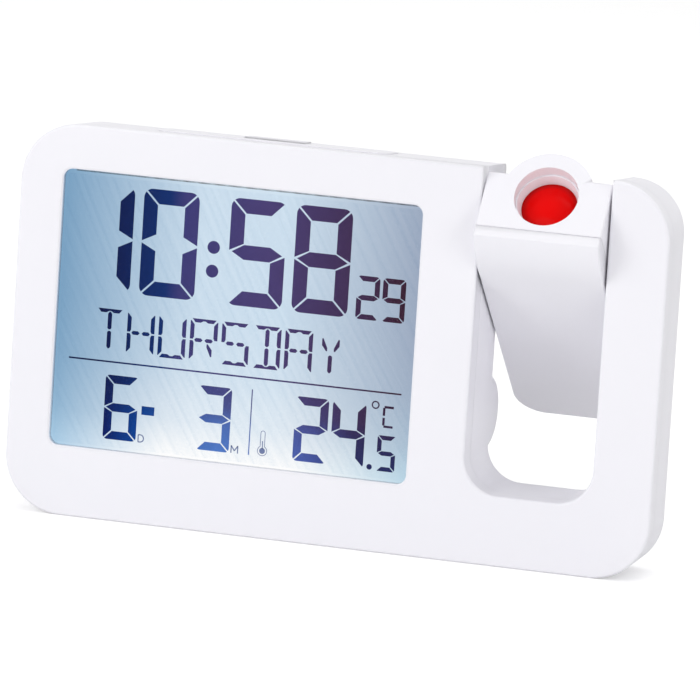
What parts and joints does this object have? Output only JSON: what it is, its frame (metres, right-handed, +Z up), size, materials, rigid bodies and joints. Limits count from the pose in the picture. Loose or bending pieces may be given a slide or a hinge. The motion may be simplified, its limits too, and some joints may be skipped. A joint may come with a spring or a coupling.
{
  "type": "projection alarm clock",
  "caption": "Standing alarm clock with a large backlit display on the left and a flip-up projector arm with a red lens turning in a slot on the right.",
  "frame": {"origin": "middle of the flat base, on the surface the clock stands on", "axes": "+X to the clock's right as seen by someone reading it, +Y from its face to its back, +Z up"},
  "size_m": [0.1648, 0.0664, 0.1014],
  "materials": {
    "casing_white": "satin moulded",
    "button_grey": "satin moulded",
    "red_lens": "polished",
    "clear_window": "polished",
    "lcd_panel": "lit from below",
    "milky_guide": "milky",
    "lamp_body": "clear",
    "rubber_strip": "matt",
    "board_green": "solder mask",
    "black_resin": "satin",
    "bright_metal": "nickel plated",
    "steel": "zinc plated",
    "pivot_plastic": "natural",
    "cell_jacket": "printed sleeve",
    "slide_glass": "polished",
    "lead_sleeve": "matt"
  },
  "bodies": {
    "casing": {"front_casing": "casing_white", "rear_casing": "casing_white", "case_screws": "steel", "display_window": "clear_window", "lcd_glass": "lcd_panel", "light_guide": "milky_guide", "backlight_leds": "lamp_body", "zebra_connector": "rubber_strip", "lcd_tray": "milky_guide", "main_board": "board_green", "board_screws": "steel", "control_chip": "black_resin", "quartz_crystal": "bright_metal", "capacitors": "bright_metal", "thermistor": "black_resin", "sounder": "black_resin", "power_inlet": "black_resin", "lead_connector": "milky_guide", "button_switches": "black_resin", "snooze_switch": "black_resin", "slide_switch": "black_resin", "battery_spring": "bright_metal", "battery_contact": "bright_metal", "battery_cell_left": "cell_jacket", "battery_cell_right": "cell_jacket"},
    "projector_arm": {"arm_front_cover": "casing_white", "arm_rear_shell": "casing_white", "arm_screws": "steel", "hinge_pivot_left": "pivot_plastic", "hinge_pivot_right": "pivot_plastic", "hinge_washers": "steel", "light_tube": "black_resin", "picture_slide": "slide_glass", "condenser_lens": "clear_window", "projector_board": "board_green", "projector_lamp": "lamp_body", "projector_lead": "lead_sleeve"},
    "focus_wheel": {"focus_wheel": "button_grey"},
    "lens_carrier": {"lens_cell": "casing_white", "projection_lens": "red_lens"},
    "battery_door": {"battery_door": "casing_white"},
    "snooze_bar": {"snooze_bar": "casing_white"},
    "lamp_slider": {"slide_knob": "button_grey"},
    "button_set": {"button_set": "button_grey"},
    "button_up": {"button_up": "button_grey"},
    "button_down": {"button_down": "button_grey"},
    "button_alarm": {"button_alarm": "button_grey"},
    "button_light": {"button_light": "button_grey"}
  },
  "joints": [
    {"name": "arm_tilt", "type": "hinge", "parent": "casing", "child": "projector_arm", "pos_m": [0.0511, 0.00255, 0.0776], "axis": [1, 0, 0], "range_deg": [-48.4, 41.6]},
    {"name": "focus_turn", "type": "hinge", "parent": "projector_arm", "child": "focus_wheel", "pos_m": [0.0511, -0.00023, 0.08261], "axis": [0, -0.7478, 0.6639], "range_deg": [-136, 136]},
    {"name": "lens_travel", "type": "slide", "parent": "projector_arm", "child": "lens_carrier", "axis": [0, -0.7478, 0.6639], "range_m": [-0.001, 0.001]},
    {"name": "battery_door_off", "type": "slide", "parent": "casing", "child": "battery_door", "axis": [0, 1, 0], "range_m": [0, 0.02]},
    {"name": "snooze_press", "type": "slide", "parent": "casing", "child": "snooze_bar", "axis": [0, 0, -1], "range_m": [0, 0.0012], "stiffness_N_per_m": 300, "springref_m": -0.0006},
    {"name": "lamp_switch", "type": "slide", "parent": "casing", "child": "lamp_slider", "axis": [1, 0, 0], "range_m": [0, 0.003]},
    {"name": "button_set_press", "type": "slide", "parent": "casing", "child": "button_set", "axis": [0, -1, 0], "range_m": [0, 0.001], "stiffness_N_per_m": 150, "springref_m": -0.0003},
    {"name": "button_up_press", "type": "slide", "parent": "casing", "child": "button_up", "axis": [0, -1, 0], "range_m": [0, 0.001], "stiffness_N_per_m": 150, "springref_m": -0.0003},
    {"name": "button_down_press", "type": "slide", "parent": "casing", "child": "button_down", "axis": [0, -1, 0], "range_m": [0, 0.001], "stiffness_N_per_m": 150, "springref_m": -0.0003},
    {"name": "button_alarm_press", "type": "slide", "parent": "casing", "child": "button_alarm", "axis": [0, -1, 0], "range_m": [0, 0.001], "stiffness_N_per_m": 150, "springref_m": -0.0003},
    {"name": "button_light_press", "type": "slide", "parent": "casing", "child": "button_light", "axis": [0, -1, 0], "range_m": [0, 0.001], "stiffness_N_per_m": 150, "springref_m": -0.0003}
  ],
  "couplings": [
    {"joint": "focus_turn", "follows": "lens_travel", "rad_per_m": 2356.2}
  ]
}
